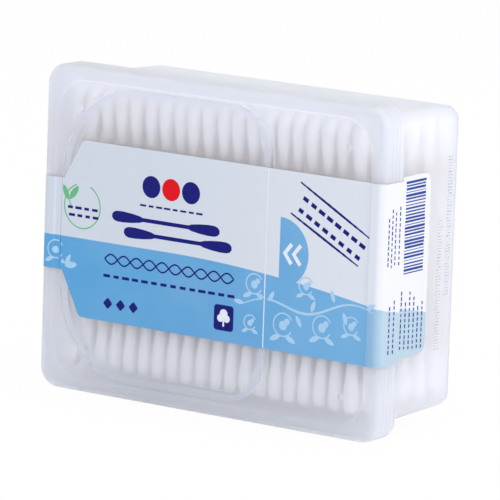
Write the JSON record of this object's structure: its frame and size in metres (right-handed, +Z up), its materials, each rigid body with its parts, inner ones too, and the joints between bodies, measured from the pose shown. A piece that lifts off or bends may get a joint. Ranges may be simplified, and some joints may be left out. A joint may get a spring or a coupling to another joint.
{
  "type": "cotton swab box",
  "caption": "Translucent plastic box with a shallow lid that clips over the tub, a round-cornered hatch on a film hinge and a wrapped label, filled with upright rows of paper-stemmed cotton swabs.",
  "frame": {"origin": "centre of the bounding box in plan, at the bottom edge of the lid skirt", "axes": "+Z up, +X to the right along the lid, -Y out of the lid towards the viewer"},
  "size_m": [0.1088, 0.0404, 0.0864],
  "materials": {
    "clear_polypropylene": "frosted translucent, satin",
    "printed_label": "smooth printed film with a pale field and a blue band",
    "stem_paper": "tightly rolled uncoated paper",
    "cotton": "wound cotton fibre"
  },
  "bodies": {
    "box": {"tub": "clear_polypropylene", "lid": "clear_polypropylene", "label_side_panel": "printed_label", "label_left_tab": "printed_label", "swab_stems_row_01": "stem_paper", "cotton_heads_row_01": "cotton", "swab_stems_row_02": "stem_paper", "cotton_heads_row_02": "cotton", "swab_stems_row_03": "stem_paper", "cotton_heads_row_03": "cotton", "swab_stems_row_04": "stem_paper", "cotton_heads_row_04": "cotton", "swab_stems_row_05": "stem_paper", "cotton_heads_row_05": "cotton", "swab_stems_row_06": "stem_paper", "cotton_heads_row_06": "cotton", "swab_stems_row_07": "stem_paper", "cotton_heads_row_07": "cotton", "swab_stems_row_08": "stem_paper", "cotton_heads_row_08": "cotton", "swab_stems_row_09": "stem_paper", "cotton_heads_row_09": "cotton", "swab_stems_row_10": "stem_paper", "cotton_heads_row_10": "cotton"},
    "hatch": {"hatch": "clear_polypropylene", "label_hatch_panel": "printed_label"}
  },
  "joints": [
    {"name": "hatch_hinge", "type": "hinge", "parent": "box", "child": "hatch", "pos_m": [-0.0482, -0.01981, 0.0432], "axis": [0, 0, -1], "range_deg": [0, 150]}
  ]
}
